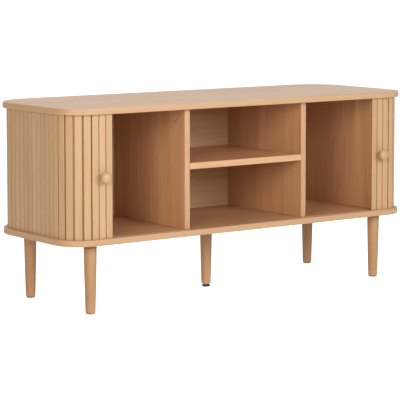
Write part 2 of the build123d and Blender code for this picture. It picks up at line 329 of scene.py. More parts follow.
def without(whole, cutters):
    """The solid whole less each of cutters, which are used up."""
    for cutter in cutters:
        cut = whole.modifiers.new("cut", "BOOLEAN")
        cut.operation = "DIFFERENCE"
        cut.solver = "EXACT"
        cut.object = cutter
    bpy.context.view_layer.update()
    graph = bpy.context.evaluated_depsgraph_get()
    mesh = bpy.data.meshes.new_from_object(whole.evaluated_get(graph))
    whole.modifiers.clear()
    whole.data = mesh
    for cutter in cutters:
        bpy.data.objects.remove(cutter)
    return whole


# where the door grooves stop: at each divider in front, and past the parked tail behind
left_divider_low, left_divider_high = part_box("left_divider")
tail_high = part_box("left_slats_25_to_29")[1]
groove_end_front = abs(left_divider_low[0] + left_divider_high[0]) / 2 + DIVIDER_STOP
groove_end_back = abs(tail_high[0]) - TAIL_ROOM


def groove_cutter(name, low, high):
    """The band that both door grooves take up, as one solid for each side."""
    ring = to_object(prism(rim_points(DOOR_INSET - GROOVE_PLAY), low, high), name, [])
    under, over = low - CUT_MARGIN, high + CUT_MARGIN
    inner_plan = rim_points(DOOR_INSET + SLAT_THICK + GROOVE_PLAY)
    cutters = [to_object(prism(inner_plan, under, over), "core", [])]
    for end, y0, y1 in ((groove_end_front, FRONT - CUT_MARGIN, MIDDLE_Y),
                        (groove_end_back, MIDDLE_Y, BACK + CUT_MARGIN)):
        plan = [(-end, y0), (end, y0), (end, y1), (-end, y1)]
        cutters.append(to_object(prism(plan, under, over), "stop", []))
    return without(ring, cutters)


def panel(name, low, high, groove_low, groove_high, material):
    """A panel with its door grooves, rounded rims and the edge band's own coordinates."""
    board = to_object(prism(rim_points(0.0), low, high), name, [material, band_oak])
    board = without(board, [groove_cutter("groove", groove_low, groove_high)])
    shape = bmesh.new()
    shape.from_mesh(board.data)

    def on_rim(vert):
        x, y = vert.co.x, vert.co.y
        return min(abs(x - LEFT), abs(x - RIGHT), abs(y - FRONT), abs(y - BACK)) < 1e-6 or \
            outside_core(x, y)

    rims = [edge for edge in shape.edges
            if all(on_rim(v) for v in edge.verts)
            and abs(edge.verts[0].co.z - edge.verts[1].co.z) < 1e-7
            and min(abs(edge.verts[0].co.z - low), abs(edge.verts[0].co.z - high)) < 1e-7]
    for face in shape.faces:
        if abs(face.normal.z) < 0.5 and all(on_rim(v) for v in face.verts):
            face.smooth = True
    ease(shape, rims, RIM_EASE, 4)
    band = shape.loops.layers.uv.new("band")
    for face in shape.faces:
        if abs(face.normal.z) < 0.72 and all(outside_core(v.co.x, v.co.y) for v in face.verts):
            face.material_index = 1
        for loop in face.loops:
            loop[band].uv = (along_rim(loop.vert.co.x, loop.vert.co.y), loop.vert.co.z)
    shape.to_mesh(board.data)
    shape.free()
    return board


def outside_core(x, y):
    """Whether a point of a panel lies on its rim, or within the rounding of it."""
    reach = RIM_EASE * 1.05       # a little more than the rounding takes up
    for centre_x, centre_y, radius in (
            (RIGHT - FRONT_RADIUS, FRONT + FRONT_RADIUS, FRONT_RADIUS),
            (LEFT + FRONT_RADIUS, FRONT + FRONT_RADIUS, FRONT_RADIUS),
            (RIGHT - BACK_RADIUS, BACK - BACK_RADIUS, BACK_RADIUS),
            (LEFT + BACK_RADIUS, BACK - BACK_RADIUS, BACK_RADIUS)):
        beyond_x = (x - centre_x) * (1 if centre_x > 0 else -1)
        beyond_y = (y - centre_y) * (1 if centre_y > MIDDLE_Y else -1)
        if beyond_x > 0 and beyond_y > 0:
            return math.hypot(beyond_x, beyond_y) > radius - reach
    return min(x - LEFT, RIGHT - x, y - FRONT, BACK - y) < reach


top = panel("top_board", top_low[2], top_high[2], CEILING_Z - CUT_MARGIN,
            CEILING_Z + GROOVE_DEPTH, board_oak)
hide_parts("top_panel")
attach(top, "carcass")

bottom = panel("bottom_board", bottom_low[2], bottom_high[2], FLOOR_Z - GROOVE_DEPTH,
               FLOOR_Z + CUT_MARGIN, floor_oak)
UPRIGHTS = ("left_divider", "right_divider", "left_inner_side", "right_inner_side")
CAM_SETBACK = 39 * MM         # from a fitting's middle to the upright's front or back edge
BOTTOM_HEAD = 5.3 * MM        # radius of the sinkings for the bottom screws' heads
BOTTOM_SUNK = 3 * MM          # depth of those sinkings


def disc_points(radius, steps=40):
    """A circle's plan, anticlockwise."""
    turns = [2 * math.pi * i / steps for i in range(steps)]
    return [(radius * math.cos(t), radius * math.sin(t)) for t in turns]


sinkings = []
for node in UPRIGHTS:
    low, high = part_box(node)
    for y in (low[1] + CAM_SETBACK, high[1] - CAM_SETBACK):
        drill = prism(disc_points(BOTTOM_HEAD), -BOTTOM_SUNK, BOTTOM_SUNK)
        sinking = to_object(drill, "sinking", [])
        sinking.data.transform(Matrix.Translation(((low[0] + high[0]) / 2, y, bottom_low[2])))
        sinkings.append(sinking)
bottom = without(bottom, sinkings)
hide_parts("bottom_panel")
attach(bottom, "carcass")

# ======================================================================================
# Uprights, centre shelf and back panel
# Two dividers and two inner sides stand between the panels; the shelf joins the dividers
# and the back panel closes the bays. They are the same oak-faced board, cut square, with
# lightly eased edges and a band glued to the front one. Only the uprights' grain stands up.
# ======================================================================================

BOARD_EASE = 0.9 * MM
CAM_RADIUS = 7.5 * MM         # pocket for a cam
CAM_DEEP = 12.5 * MM          # depth of the pocket
CAM_DROP = 27 * MM            # cam centre below the top panel
SIDE_CAM_SETBACK = 17 * MM    # the inner sides' front cams stand nearer to the edge
upright_oak = oak("oak_face_upright", "Z", linear(200, 153, 113), linear(171, 117, 79),
                  shift=2.3)
inner_oak = oak("oak_face_inner", "X", linear(206, 151, 112), linear(177, 115, 78), shift=6.1)
upright_edge = oak("oak_edge_upright", "Z", linear(189, 151, 114), linear(163, 117, 80),
                   shift=21.0)
inner_edge = oak("oak_edge_inner", "X", linear(201, 163, 121), linear(173, 125, 85), shift=27.0)


def square_board(name, low, high, material, edge_material):
    """A board with eased edges whose front edge carries a glued band."""
    shape = bmesh.new()
    bmesh.ops.create_cube(shape, size=1.0)
    size = [high[i] - low[i] for i in range(3)]
    centre = [(high[i] + low[i]) / 2 for i in range(3)]
    for vert in shape.verts:
        vert.co = [vert.co[i] * size[i] + centre[i] for i in range(3)]
    ease(shape, shape.edges[:], BOARD_EASE)
    for face in shape.faces:
        face.normal_update()
        face.material_index = 1 if face.normal.y < -0.6 else 0
    return to_object(shape, name, [material, edge_material])


def cam_places(node, facing):
    """Middles of an upright's two cams, in the face they open to."""
    low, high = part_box(node)
    front = SIDE_CAM_SETBACK if "side" in node else CAM_SETBACK
    face_x = high[0] if facing > 0 else low[0]
    return [(face_x, y, CEILING_Z - CAM_DROP) for y in (low[1] + front, high[1] - CAM_SETBACK)]


def cam_holes(node, facing):
    """Round pockets for the cams, near the top of an upright."""
    cutters = []
    for place in cam_places(node, facing):
        drill = to_object(prism(disc_points(CAM_RADIUS), -CAM_DEEP, CAM_DEEP), "drill", [])
        drill.data.transform(Matrix.Translation(place) @ Matrix.Rotation(math.pi / 2, 4, "Y"))
        cutters.append(drill)
    return cutters


CAM_FACING = {"left_divider": -1, "right_divider": 1, "left_inner_side": 1, "right_inner_side": -1}
for node, facing in CAM_FACING.items():
    board = square_board(node + "_board", *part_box(node), upright_oak, upright_edge)
    board = without(board, cam_holes(node, facing))
    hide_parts(node)
    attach(board, "carcass")

BACK_HEAD = 3.7 * MM          # radius of the sinkings for the back screws' heads
BACK_SUNK = 2 * MM            # depth of those sinkings
BACK_SCREW_INSET = 60 * MM    # from the panels to the nearest back screw
for node in ("centre_shelf", "back_panel"):
    board = square_board(node + "_board", *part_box(node), inner_oak, inner_edge)
    if node == "back_panel":
        sinkings = []
        for upright in UPRIGHTS:
            low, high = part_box(upright)
            for z in (FLOOR_Z + BACK_SCREW_INSET, CEILING_Z - BACK_SCREW_INSET):
                drill = prism(disc_points(BACK_HEAD), -BACK_SUNK, BACK_SUNK)
                sinking = to_object(drill, "sinking", [])
                sinking.data.transform(Matrix.Rotation(math.pi / 2, 4, "X"))
                place = ((low[0] + high[0]) / 2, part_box(node)[1][1], z)
                sinking.data.transform(Matrix.Translation(place))
                sinkings.append(sinking)
        board = without(board, sinkings)
    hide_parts(node)
    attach(board, "carcass")

# ======================================================================================
# Joint fittings
# Zinc cam locks, set in the uprights and turned with a screwdriver, pull the top panel
# down on steel bolts; beech dowels keep it in line. Screws come up through the bottom
# panel, and small countersunk screws hold the back panel.
# ======================================================================================


def zinc(name, colour, roughness, metallic=1.0):
    """Plated or cast metal with a cloudy surface and fine scratches."""
    metal = Finish(name, metallic=metallic)
    place = metal.node("ShaderNodeTexCoord", None, None, "Object")
    cloud = metal.noise(place, 180.0, 3.0, 0.6)
    scratch = metal.noise(place, 1400.0, 2.0, 0.7)
    shade = tuple(channel * 0.6 for channel in colour[:3]) + (1.0,)
    metal.set("Base Color", metal.mix((cloud * 0.9 - 0.1).clamped(), colour, shade))
    metal.set("Roughness", (roughness + (cloud - 0.5) * 0.3 + (scratch - 0.5) * 0.2).clamped())
    metal.bump(scratch * 0.5 + cloud, 0.25, 0.05 * MM)
    return metal.material


cast_zinc = zinc("cast_zinc", linear(206, 184, 152), 0.5, metallic=0.3)
plated_steel = zinc("plated_steel", linear(190, 188, 182), 0.30)


def stamp_tree():
    """Geometry Nodes: a copy of one shape on every point, turned about Z by its turn."""
    tree = bpy.data.node_groups.new("shape_on_points", "GeometryNodeTree")
    for name in ("Geometry", "Shape", "Finish"):
        kind = {"Shape": "Object", "Finish": "Material"}.get(name, name)
        tree.interface.new_socket(name=name, in_out="INPUT", socket_type="NodeSocket" + kind)
    tree.interface.new_socket(name="Geometry", in_out="OUTPUT", socket_type="NodeSocketGeometry")
    made = Nodes(tree)
    given = tree.nodes.new("NodeGroupInput").outputs
    shape = made.node("GeometryNodeObjectInfo", None,
                      {"Object": Value(made, given["Shape"])}, "Geometry")
    turn = made.node("GeometryNodeInputNamedAttribute", {"data_type": "FLOAT"}, {"Name": "turn"})
    about = made.node("ShaderNodeCombineXYZ", None, {"Z": turn})
    copies = made.node("GeometryNodeInstanceOnPoints", None, {
        "Points": Value(made, given["Geometry"]), "Instance": shape, "Rotation": about})
    real = made.node("GeometryNodeRealizeInstances", None, {"Geometry": copies})
    painted = made.node("GeometryNodeSetMaterial", None,
                        {"Geometry": real, "Material": Value(made, given["Finish"])})
    tree.links.new(painted.socket, tree.nodes.new("NodeGroupOutput").inputs["Geometry"])
    return tree


stamps = stamp_tree()


def grown(holder, tree, settings, name):
    """The plain mesh that a Geometry Nodes tree makes from holder, which is used up."""
    modifier = holder.modifiers.new("grow", "NODES")
    modifier.node_group = tree
    sockets = {item.name: item.identifier for item in tree.interface.items_tree
               if item.in_out == "INPUT"}
    for key, value in settings.items():
        modifier[sockets[key]] = value
    bpy.context.view_layer.update()
    graph = bpy.context.evaluated_depsgraph_get()
    mesh = bpy.data.meshes.new_from_object(holder.evaluated_get(graph))
    mesh.name = name
    made = bpy.data.objects.new(name, mesh)
    bpy.context.scene.collection.objects.link(made)
    bpy.data.objects.remove(holder)
    return made


def stamped(name, shape, places, material):
    """One piece with a copy of shape at each (x, y, z, turn)."""
    mesh = bpy.data.meshes.new("places")
    mesh.from_pydata([place[:3] for place in places], [], [])
    turns = mesh.attributes.new("turn", "FLOAT", "POINT")
    for i, place in enumerate(places):
        turns.data[i].value = place[3]
    holder = bpy.data.objects.new("places", mesh)
    bpy.context.scene.collection.objects.link(holder)
    made = grown(holder, stamps, {"Shape": shape, "Finish": material}, name)
    bpy.data.objects.remove(shape)
    return made


SHARP = math.radians(38)      # a turned solid's edges sharper than this stay crisp


def turned(name, profile, material, steps=48, worn=()):
    """A lathe-turned solid about Z. profile is (radius, height) from the bottom up."""
    shape = bmesh.new()
    wear_and_shade = shape.verts.layers.float.new("wear_and_shade")
    rings = []
    for row, (radius, height) in enumerate(profile):
        if radius < 1e-7:
            ring = [shape.verts.new((0, 0, height))]
        else:
            ring = [shape.verts.new((x, y, height)) for x, y in disc_points(radius, steps)]
        for vert in ring:
            vert[wear_and_shade] = 1.0 if row in worn else 0.0
        rings.append(ring)
    for lower, upper in zip(rings, rings[1:]):
        for i in range(steps):
            j = (i + 1) % steps
            corners = [lower[i % len(lower)], lower[j % len(lower)],
                       upper[j % len(upper)], upper[i % len(upper)]]
            corners = list(dict.fromkeys(corners))
            face = shape.faces.new(corners)
            face.smooth = True
    for edge in shape.edges:
        if len(edge.link_faces) == 2 and edge.calc_face_angle() > SHARP:
            edge.smooth = False
    return to_object(shape, name, [material])


def slotted_cam():
    """A cam's outer face: a rimmed disc with a cross slot, on its pocket's axis, facing +X."""
    rim = -1.0 * MM               # behind the upright's face
    dish = rim - 0.4 * MM         # the face inside the rim
    inner_end = -9 * MM
    slot_floor = dish - 1.4 * MM
    slot_long, slot_wide = 9.0 * MM, 1.6 * MM
    locked = math.radians(28)     # where the screwdriver left the slot
    face = turned("cam", [(0, inner_end), (6.6 * MM, inner_end), (6.6 * MM, rim - 0.3 * MM),
                          (6.3 * MM, rim), (5.7 * MM, rim), (5.5 * MM, dish), (0, dish)],
                  cast_zinc)
    cutters = []
    for x, y in ((slot_long / 2, slot_wide / 2), (slot_wide / 2, slot_long / 2)):
        plan = [(-x, -y), (x, -y), (x, y), (-x, y)]
        cutters.append(to_object(prism(plan, slot_floor, CUT_MARGIN), "slot", []))
    face = without(face, cutters)
    face.data.transform(Matrix.Rotation(locked, 4, "Z"))
    face.data.transform(Matrix.Rotation(math.pi / 2, 4, "Y"))
    return face


cam_turns = []
for node, facing in CAM_FACING.items():
    turn = 0.0 if facing > 0 else math.pi
    cam_turns += [(*place, turn) for place in cam_places(node, facing)]
cams = stamped("cam_faces", slotted_cam(), cam_turns, cast_zinc)
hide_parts("cam_locks")
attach(cams, "carcass")


def beech():
    """Raw beech with short dark flecks, as dowels are made of."""
    raw = Finish("raw_beech", roughness=0.7)
    place = raw.node("ShaderNodeTexCoord", None, None, "Object")
    fleck = raw.noise(place, 420.0, 3.0, 0.6)
    tint = raw.noise(place, 40.0)
    share = (fleck * 0.7 + tint * 0.5 - 0.1).clamped()
    raw.set("Base Color", raw.mix(share, linear(224, 196, 154), linear(190, 152, 108)))
    raw.bump(fleck, 0.3, 0.1 * MM)
    return raw.material


FITTINGS = {"dowels": beech(), "cam_bolts": plated_steel, "leg_bolts": plated_steel,
            "leg_inserts": cast_zinc, "bottom_screws": plated_steel, "back_screws": plated_steel}
for node, material in FITTINGS.items():
    frame["nodes"][node].data.materials.clear()
    frame["nodes"][node].data.materials.append(material)

# ======================================================================================
# Legs and feet
# Five legs turned from light wood, tapering to the foot, screwed into inserts in the
# bottom panel. The four corner legs stand on grey pads; the centre leg has a black
# levelling foot on a steel stem.
# ======================================================================================

leg_wood = oak("leg_wood", "Z", linear(179, 138, 98), linear(150, 108, 71), shift=9.4,
               figure=0.8)


def plastic(name, colour, roughness):
    """Moulded plastic with a fine spark texture and scuffs."""
    moulded = Finish(name)
    place = moulded.node("ShaderNodeTexCoord", None, None, "Object")
    spark = moulded.noise(place, 2600.0, 2.0, 0.6)
    scuff = moulded.noise(place, 160.0, 4.0, 0.7).above(0.52, 0.72)
    lighter = tuple(min(1.0, channel * 1.5 + 0.03) for channel in colour[:3]) + (1.0,)
    moulded.set("Base Color", moulded.mix(scuff * 0.45, colour, lighter))
    moulded.set("Roughness", (roughness + scuff * 0.2 + (spark - 0.5) * 0.1).clamped())
    moulded.bump(spark, 0.3, 0.06 * MM)
    return moulded.material


grey_pad = plastic("grey_pad", linear(136, 122, 104), 0.6)
black_foot = plastic("black_foot", linear(34, 32, 31), 0.5)


def move_to(piece, x, y, z):
    """Moves a piece's mesh, so that the piece itself stays at the origin."""
    piece.data.transform(Matrix.Translation((x, y, z)))
    return piece


LEGS = ("front_left_leg", "front_right_leg", "back_left_leg", "back_right_leg", "centre_leg")
TOP_RADIUS = 16.5 * MM
FOOT_RADIUS = 12.5 * MM
FOOT_EASE = 1.6 * MM          # rounding of a corner leg's lower edge
CENTRE_EASE = 0.8 * MM        # the centre leg's, which has a pocket inside it
SWELL = 0.35 * MM             # how far a leg's side bulges from a straight taper
POCKET_RADIUS = 11 * MM       # sinking in the centre leg for its screwed-in foot
POCKET_DEEP = 5.5 * MM
BORE_RADIUS = 4.5 * MM        # hole above the sinking, for the foot's stem
BORE_DEEP = 33.5 * MM
ease_rows, taper_rows = 4, 10
leg_axes = {}
for node in LEGS:
    low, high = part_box(node)
    x, y = (low[0] + high[0]) / 2, (low[1] + high[1]) / 2
    leg_axes[node] = (x, y)
    tall = high[2] - low[2]
    foot_ease = CENTRE_EASE if node == "centre_leg" else FOOT_EASE
    profile = [(0, 0)]
    if node == "centre_leg":
        profile = [(0, BORE_DEEP), (BORE_RADIUS, BORE_DEEP), (BORE_RADIUS, POCKET_DEEP),
                   (POCKET_RADIUS, POCKET_DEEP), (POCKET_RADIUS, 0)]
    profile.append((FOOT_RADIUS - foot_ease, 0))
    worn = []
    for step in range(1, ease_rows + 1):
        turn = math.radians(90 * step / ease_rows)
        worn.append(len(profile))
        profile.append((FOOT_RADIUS - foot_ease * (1 - math.sin(turn)),
                        foot_ease * (1 - math.cos(turn))))
    for step in range(1, taper_rows + 1):
        share = step / taper_rows
        swell = SWELL * math.sin(math.pi * share)
        radius = FOOT_RADIUS + (TOP_RADIUS - FOOT_RADIUS) * share + swell
        profile.append((radius, foot_ease + (tall - foot_ease) * share))
    profile.append((0, tall))
    leg = move_to(turned(node + "_turned", profile, leg_wood, worn=worn), x, y, low[2])
    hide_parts(node)
    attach(leg, "carcass")

pad_low, pad_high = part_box("leg_pads")
pad_thick = pad_high[2] - pad_low[2]
PAD_RADIUS = 11 * MM
# a flat disc with a rounded lower edge
pad = turned("pad", [(0, 0), (PAD_RADIUS - 1.4 * MM, 0), (PAD_RADIUS - 0.5 * MM, 0.4 * MM),
                     (PAD_RADIUS, 1.3 * MM), (PAD_RADIUS, pad_thick), (0, pad_thick)], grey_pad)
pad_places = [(*leg_axes[node], 0.0, 0.0) for node in LEGS[:4]]
pads = stamped("corner_leg_pads", pad, pad_places, grey_pad)
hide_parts("leg_pads")
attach(pads, "carcass")

centre_x, centre_y = leg_axes["centre_leg"]
glide_low, glide_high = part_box("centre_leg_glide")
GLIDE_RADIUS = 10.5 * MM
GLIDE_TALL = 5.2 * MM
# a disc rounded below and sloped off above
foot = turned("levelling_foot", [
    (0, 0), (GLIDE_RADIUS - 1.6 * MM, 0), (GLIDE_RADIUS - 0.6 * MM, 0.5 * MM),
    (GLIDE_RADIUS, 1.6 * MM), (GLIDE_RADIUS, 4.2 * MM), (GLIDE_RADIUS - 0.8 * MM, 5.0 * MM),
    (GLIDE_RADIUS - 2.5 * MM, GLIDE_TALL), (0, GLIDE_TALL)], black_foot)
move_to(foot, centre_x, centre_y, glide_low[2])
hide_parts("centre_leg_glide")
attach(foot, "centre_glide")

# the stem's thread is made as rings, one a pitch
STEM_RADIUS = 4.0 * MM
THREAD_PITCH = 1.25 * MM
THREAD_DEEP = 0.6 * MM
NECK_RADIUS = STEM_RADIUS - 0.7 * MM
COLLAR_RADIUS = 6.4 * MM      # nut above the foot
COLLAR_TALL = 2.0 * MM
stem_low, stem_high = 5.0 * MM, glide_high[2]
height = stem_low + COLLAR_TALL
stem_profile = [(0, stem_low), (COLLAR_RADIUS, stem_low), (COLLAR_RADIUS, height),
                (NECK_RADIUS, height + 0.2 * MM)]
height += 0.4 * MM
while height < stem_high - THREAD_PITCH:
    stem_profile.append((STEM_RADIUS - THREAD_DEEP, height))
    stem_profile.append((STEM_RADIUS, height + THREAD_PITCH / 2))
    height += THREAD_PITCH
stem_profile += [(NECK_RADIUS, stem_high), (0, stem_high)]
stem = turned("levelling_stem", stem_profile, plated_steel, steps=32)
move_to(stem, centre_x, centre_y, 0)
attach(stem, "centre_glide")

# ======================================================================================
# Tambour doors
# Each door is 29 oak slats glued to a strip of linen, which run in the panels' grooves. A
# lap on each slat lies under the next one's face, so that the bends show no light. The
# leading slats carry the pull; the tail of an open door lies behind the back panel.
# ======================================================================================

SLAT_PITCH = 20 * MM
SLAT_FACE = 19.1 * MM
SLAT_EASE = 2.0 * MM          # rounding of a slat's two front edges
GROOVE_SHADE = 0.12 * MM      # below the face, where a slat's edge is painted darker as shade
LAP_REACH = 12.2 * MM         # slat's middle to the end of its lap, under the next slat's face
LAP_SLOPE = 0.8 * MM          # rise of the lap's underside off the cloth
GLUED_EDGE = 9.0 * MM         # slat's middle to where its lap leaves the cloth
LAP_TOP = 3.2 * MM            # lap's upper face above the cloth
REBATE_EDGE = 6.4 * MM        # slat's middle to the rebate that takes the next slat's lap
REBATE_TOP = 4.5 * MM         # clears the lap where a bend runs out
SLAT_TONGUE = 1.5 * MM        # how far a slat's ends reach into the grooves
LEAD_TONGUE = 5 * MM          # the same for the leading slats, which guide the door
FINGER_BEVEL = 6.4 * MM       # slope under the free edge of the first slat
PARKED_EDGE = 420 * MM        # cabinet's middle to the leading edge of an open door
CLOTH_THICK = 0.45 * MM
CLOTH_WIDTH = 19.4 * MM
CLOTH_GAP = 0.02 * MM         # keeps cloth and slat from sharing a face
CLOTH_SHORT = 1 * MM          # from the panels to the cloth's ends
SLAT_COUNT = 29

slat_oak = oak("oak_slat", "Z", linear(195, 158, 118), linear(170, 128, 88), shift=12.7,
               per_slat=True, figure=0.7)


def linen():
    """Plain-woven backing cloth, brown with glue."""
    cloth = Finish("backing_linen", roughness=0.9, specular=0.2)
    place = cloth.node("ShaderNodeTexCoord", None, None, "Object")
    weave = cloth.noise(place, 900.0, 2.0, 0.6)
    up = cloth.node("ShaderNodeMapping", None, {"Vector": place, "Scale": (1.0, 1.0, 0.08)})
    across = cloth.node("ShaderNodeMapping", None, {"Vector": place, "Scale": (0.08, 0.08, 1.0)})
    warp = cloth.noise(up, 1500.0, 1.0)
    weft = cloth.noise(across, 1500.0, 1.0)
    share = (warp * 0.5 + weft * 0.5 + (weave - 0.5) * 0.4).clamped()
    cloth.set("Base Color", cloth.mix(share, linear(150, 112, 76), linear(104, 72, 46)))
    cloth.bump(warp + weft, 0.5, 0.2 * MM)
    return cloth.material


backing_linen = linen()


def slat_shape(name, tongue, bevel_left=0.0, bevel_right=0.0):
    """One slat at the origin: X across, +Y out of the door, with its strip of cloth."""
    face = SLAT_FACE / 2
    section = [(-REBATE_EDGE, 0.0), (GLUED_EDGE, 0.0), (LAP_REACH, LAP_SLOPE),
               (LAP_REACH, LAP_TOP), (face, LAP_TOP), (face, SLAT_THICK), (-face, SLAT_THICK),
               (-face, REBATE_TOP), (-REBATE_EDGE, REBATE_TOP)]
    if bevel_left:
        section[-2:] = []
        section[0] = (-face + bevel_left, 0.0)
    if bevel_right:
        section[1:5] = [(face - bevel_right, 0.0)]
    shape = prism(section, FLOOR_Z - tongue, CEILING_Z + tongue)
    front = [edge for edge in shape.edges
             if all(vert.co.y > SLAT_THICK - 1e-6 for vert in edge.verts)
             and abs(edge.verts[0].co.x - edge.verts[1].co.x) < 1e-7]
    ease(shape, front, SLAT_EASE, 5)
    # on a slat the mark stands for painted shade, on all but its face
    wear_and_shade = shape.verts.layers.float["wear_and_shade"]
    for vert in shape.verts:
        vert[wear_and_shade] = 1.0 if vert.co.y < SLAT_THICK - GROOVE_SHADE else 0.0
    x0 = -CLOTH_WIDTH / 2 + bevel_left
    x1 = CLOTH_WIDTH / 2 - bevel_right
    strip = []
    for z in (FLOOR_Z + CLOTH_SHORT, CEILING_Z - CLOTH_SHORT):
        for x, y in ((x0, -CLOTH_THICK), (x1, -CLOTH_THICK), (x1, -CLOTH_GAP), (x0, -CLOTH_GAP)):
            strip.append(shape.verts.new((x, y, z)))
    sides = [(0, 1, 5, 4), (1, 2, 6, 5), (2, 3, 7, 6), (3, 0, 4, 7), (3, 2, 1, 0), (4, 5, 6, 7)]
    for side in sides:
        face = shape.faces.new([strip[i] for i in side])
        face.material_index = 1
    return to_object(shape, name, [slat_oak, backing_linen])


def slat_tree():
    """Geometry Nodes: slats at even steps along the door's path, each with its own tone."""
    tree = bpy.data.node_groups.new("slats_on_path", "GeometryNodeTree")
    for name, kind in (("Geometry", "Geometry"), ("Slat", "Object"), ("Edge slat", "Object"),
                       ("Edge number", "Int"), ("First", "Int"), ("Count", "Int"),
                       ("Pitch", "Float"), ("Seed", "Int"), ("Wood", "Material"),
                       ("Cloth", "Material")):
        tree.interface.new_socket(name=name, in_out="INPUT", socket_type="NodeSocket" + kind)
    tree.interface.new_socket(name="Geometry", in_out="OUTPUT", socket_type="NodeSocketGeometry")
    made = Nodes(tree)
    given = tree.nodes.new("NodeGroupInput").outputs
    whole_path = {"mode": "LENGTH", "use_all_curves": True}

    number = made.node("GeometryNodeInputIndex") + Value(made, given["First"])
    middle = (number + 0.5) * Value(made, given["Pitch"])
    sample = made.node("GeometryNodeSampleCurve", whole_path,
                       {"Curves": Value(made, given["Geometry"]), "Length": middle}, "Position")
    tangent = Value(made, sample.socket.node.outputs["Tangent"])
    facing = made.node("FunctionNodeAlignRotationToVector", {"axis": "X", "pivot_axis": "Z"},
                       {"Vector": tangent})
    points = made.node("GeometryNodePoints", None,
                       {"Count": Value(made, given["Count"]), "Position": sample})
    dice = made.node("FunctionNodeRandomValue", None,
                     {"ID": number, "Seed": Value(made, given["Seed"])}, 1)
    points = made.node("GeometryNodeStoreNamedAttribute", {"data_type": "FLOAT"},
                       {"Geometry": points, "Name": "tone", "Value": dice})
    is_edge = made.node("FunctionNodeCompare", {"data_type": "INT", "operation": "EQUAL"},
                        {2: number, 3: Value(made, given["Edge number"])})
    rest = made.node("FunctionNodeBooleanMath", {"operation": "NOT"}, {0: is_edge})
    door = []
    for pattern, chosen in (("Slat", rest), ("Edge slat", is_edge)):
        shape = made.node("GeometryNodeObjectInfo", None,
                          {"Object": Value(made, given[pattern])}, "Geometry")
        door.append(made.node("GeometryNodeInstanceOnPoints", None, {
            "Points": points, "Selection": chosen, "Instance": shape, "Rotation": facing}))
    joined = made.node("GeometryNodeJoinGeometry", None, {0: door[0]})
    tree.links.new(door[1].socket, joined.socket.node.inputs[0])
    real = made.node("GeometryNodeRealizeInstances", None, {"Geometry": joined})
    slot = made.node("GeometryNodeInputMaterialIndex")
    for name, index in (("Wood", 0), ("Cloth", 1)):
        here = made.node("FunctionNodeCompare", {"data_type": "INT", "operation": "EQUAL"},
                         {2: slot, 3: index})
        real = made.node("GeometryNodeSetMaterial", None, {
            "Geometry": real, "Selection": here, "Material": Value(made, given[name])})
    tree.links.new(real.socket, tree.nodes.new("NodeGroupOutput").inputs["Geometry"])
    return tree


slats_on_path = slat_tree()


def door_path(side):
    """The cloth line of one parked door, with the door's outside on its left."""
    inset = DOOR_INSET + SLAT_THICK
    front_x = (RIGHT - LEFT) / 2 - FRONT_RADIUS
    back_x = (RIGHT - LEFT) / 2 - BACK_RADIUS
    front_y, back_y = FRONT + FRONT_RADIUS, BACK - BACK_RADIUS
    front_reach, back_reach = FRONT_RADIUS - inset, BACK_RADIUS - inset
    turns = [math.radians(90 * step / ARC_STEPS) for step in range(ARC_STEPS + 1)]
    points = [(PARKED_EDGE, FRONT + inset)]
    points += [(front_x + front_reach * math.sin(turn), front_y - front_reach * math.cos(turn))
               for turn in turns]
    points += [(back_x + back_reach * math.cos(turn), back_y + back_reach * math.sin(turn))
               for turn in turns]
    run = sum(math.dist(a, b) for a, b in zip(points, points[1:]))
    points.append((back_x - (SLAT_COUNT * SLAT_PITCH - run), BACK - inset))
    if side == "left":
        return [(-x, y) for x, y in points]
    return points[::-1]


def path_curve(points):
    """A straight-sided curve through plan points."""
    curve = bpy.data.curves.new("door_path", "CURVE")
    curve.dimensions = "3D"
    spline = curve.splines.new("POLY")
    spline.points.add(len(points) - 1)
    for point, (x, y) in zip(spline.points, points):
        point.co = (x, y, 0.0, 1.0)
    made = bpy.data.objects.new("door_path", curve)
    bpy.context.scene.collection.objects.link(made)
    return made


def slat_numbers(node):
    """First and last slat of a door node, counted from 0 at the leading edge."""
    if node.endswith("lead_slats"):
        return 0, 2
    numbers = [int(digits) for digits in re.findall(r"\d+", node)]
    return numbers[0] - 1, numbers[-1] - 1


bodies = frame["record"]["behaviour"]["bodies"]
body_of = {node: body for body, nodes in bodies.items() for node in nodes}
plain_slat = slat_shape("slat", SLAT_TONGUE)
lead_slat = slat_shape("lead_slat", LEAD_TONGUE)
for side, seed in (("left", 11), ("right", 23)):
    bevels = (FINGER_BEVEL, 0.0) if side == "left" else (0.0, FINGER_BEVEL)
    edge_slat = slat_shape("edge_slat", LEAD_TONGUE, *bevels)
    slat_nodes = [name for name in frame["nodes"] if name.startswith(side) and "slat" in name]
    for node in sorted(slat_nodes):
        first, last = slat_numbers(node)
        settings = {
            "Slat": lead_slat if first == 0 else plain_slat,
            "Edge slat": edge_slat,
            "Edge number": 0 if side == "left" else SLAT_COUNT - 1,
            "First": first if side == "left" else SLAT_COUNT - 1 - last,
            "Count": last - first + 1,
            "Pitch": SLAT_PITCH, "Seed": seed, "Wood": slat_oak, "Cloth": backing_linen}
        piece = grown(path_curve(door_path(side)), slats_on_path, settings, node + "_made")
        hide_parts(node)
        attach(piece, body_of[node])
    bpy.data.objects.remove(edge_slat)
for pattern in (plain_slat, lead_slat):
    bpy.data.objects.remove(pattern)

# ======================================================================================
# Pulls
# A turned wooden knob on the second slat of each door, held by a countersunk screw
# through the slat.
# ======================================================================================

knob_oak = oak("knob_wood", "Z", linear(184, 148, 109), linear(162, 120, 82), shift=17.0,
               figure=0.8)
